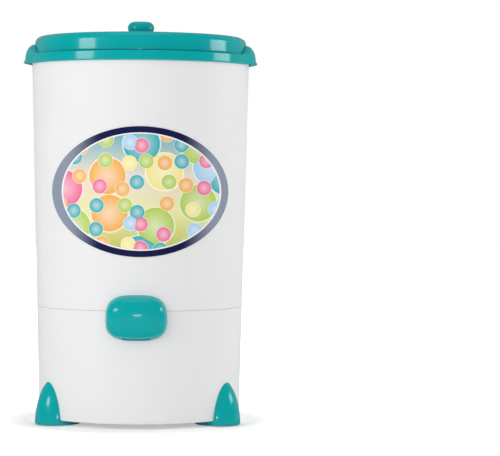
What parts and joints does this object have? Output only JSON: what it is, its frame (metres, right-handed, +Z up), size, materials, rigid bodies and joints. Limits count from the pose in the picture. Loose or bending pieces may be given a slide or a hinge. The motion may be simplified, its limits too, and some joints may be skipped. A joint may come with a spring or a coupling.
{
  "type": "laundry spin dryer",
  "caption": "Upright round spin dryer with a hinged locking lid, side handles, perforated drum, sprung motor, lid brake, spout hood and domed feet.",
  "frame": {"origin": "on the drum's axis at the floor, under the middle of the machine's box", "axes": "+Z up along the drum's axis, -Y out of the front where the spout hood and badge are, +X to the right seen from the front"},
  "size_m": [0.3816, 0.3816, 0.65],
  "materials": {
    "white_plastic": "satin white moulded plastic",
    "teal_plastic": "glossy teal moulded plastic",
    "grey_plastic": "grey moulded plastic",
    "black_plastic": "black moulded plastic",
    "badge_film": "printed film with an abstract colour design",
    "rubber": "black rubber",
    "steel": "zinc plated steel",
    "stainless": "brushed stainless steel",
    "aluminium": "die-cast aluminium",
    "copper": null
  },
  "bodies": {
    "cabinet": {"upper_shell": "white_plastic", "lower_shell": "white_plastic", "top_ring": "teal_plastic", "spout_hood": "teal_plastic", "badge": "badge_film", "foot_right": "teal_plastic", "foot_rear": "teal_plastic", "foot_left": "teal_plastic", "foot_pad_right": "rubber", "foot_pad_rear": "rubber", "foot_pad_left": "rubber", "foot_screw_right": "steel", "foot_screw_rear": "steel", "foot_screw_left": "steel", "seam_screw_right": "steel", "seam_screw_rear": "steel", "seam_screw_left": "steel", "hinge_pin": "steel", "tub_floor": "grey_plastic", "suspension_spring_front": "steel", "suspension_spring_right": "steel", "suspension_spring_left": "steel", "shaft_seal": "rubber", "brake_pivot": "steel", "micro_switch": "black_plastic", "cable_duct": "white_plastic", "capacitor": "aluminium", "capacitor_clip": "steel", "cord_gland": "black_plastic", "terminal_block": "white_plastic"},
    "lid": {"lid": "teal_plastic", "lid_liner": "grey_plastic", "lid_gasket": "rubber"},
    "knob": {"lid_knob": "teal_plastic", "lock_cam": "black_plastic"},
    "bolt_right": {"lock_bolt_right": "steel"},
    "bolt_left": {"lock_bolt_left": "steel"},
    "interlock": {"interlock_plunger": "black_plastic", "brake_cable": "steel"},
    "brake": {"brake_lever": "steel", "brake_pad": "rubber"},
    "motor": {"motor_plate": "steel", "motor_lower_housing": "aluminium", "motor_upper_housing": "aluminium", "stator_core": "steel", "winding_lower": "copper", "winding_upper": "copper", "lower_bearing": "steel", "upper_bearing": "steel", "motor_bolt_1": "steel", "motor_bolt_2": "steel", "motor_bolt_3": "steel"},
    "rotor": {"drum": "stainless", "drum_hub": "aluminium", "drum_nut": "stainless", "shaft": "steel", "brake_drum": "steel", "rotor_core": "steel"}
  },
  "joints": [
    {"name": "lid_hinge", "type": "hinge", "parent": "cabinet", "child": "lid", "pos_m": [0, 0.1853, 0.603], "axis": [-1, 0, 0], "range_deg": [0, 100]},
    {"name": "knob_turn", "type": "hinge", "parent": "lid", "child": "knob", "pos_m": [0, 0, 0.628], "axis": [0, 0, 1], "range_deg": [0, 60]},
    {"name": "bolt_right_slide", "type": "slide", "parent": "lid", "child": "bolt_right", "axis": [1, 0, 0], "range_m": [0, 0.0056]},
    {"name": "bolt_left_slide", "type": "slide", "parent": "lid", "child": "bolt_left", "axis": [-1, 0, 0], "range_m": [0, 0.0056]},
    {"name": "interlock_slide", "type": "slide", "parent": "cabinet", "child": "interlock", "axis": [0, 0, 1], "range_m": [0, 0.0081]},
    {"name": "brake_swing", "type": "hinge", "parent": "cabinet", "child": "brake", "pos_m": [0.03556, 0.05079, 0.021], "axis": [0.8191, -0.5736, 0], "range_deg": [0, 5.3]},
    {"name": "suspension_bounce", "type": "slide", "parent": "cabinet", "child": "motor", "axis": [0, 0, 1], "range_m": [-0.004, 0.004], "stiffness_N_per_m": 15000, "springref_m": 0.00612, "deforming": ["suspension_spring_front", "suspension_spring_right", "suspension_spring_left", "shaft_seal"]},
    {"name": "drum_spin", "type": "hinge", "parent": "motor", "child": "rotor", "pos_m": [0, 0, 0.3], "axis": [0, 0, 1], "continuous": true}
  ],
  "couplings": [
    {"joint": "bolt_right_slide", "follows": "knob_turn", "m_per_rad": 0.0052521},
    {"joint": "bolt_left_slide", "follows": "knob_turn", "m_per_rad": 0.0052521},
    {"joint": "interlock_slide", "follows": "lid_hinge", "m_per_rad": 0.0045837},
    {"joint": "brake_swing", "follows": "lid_hinge", "ratio": 0.05216}
  ]
}
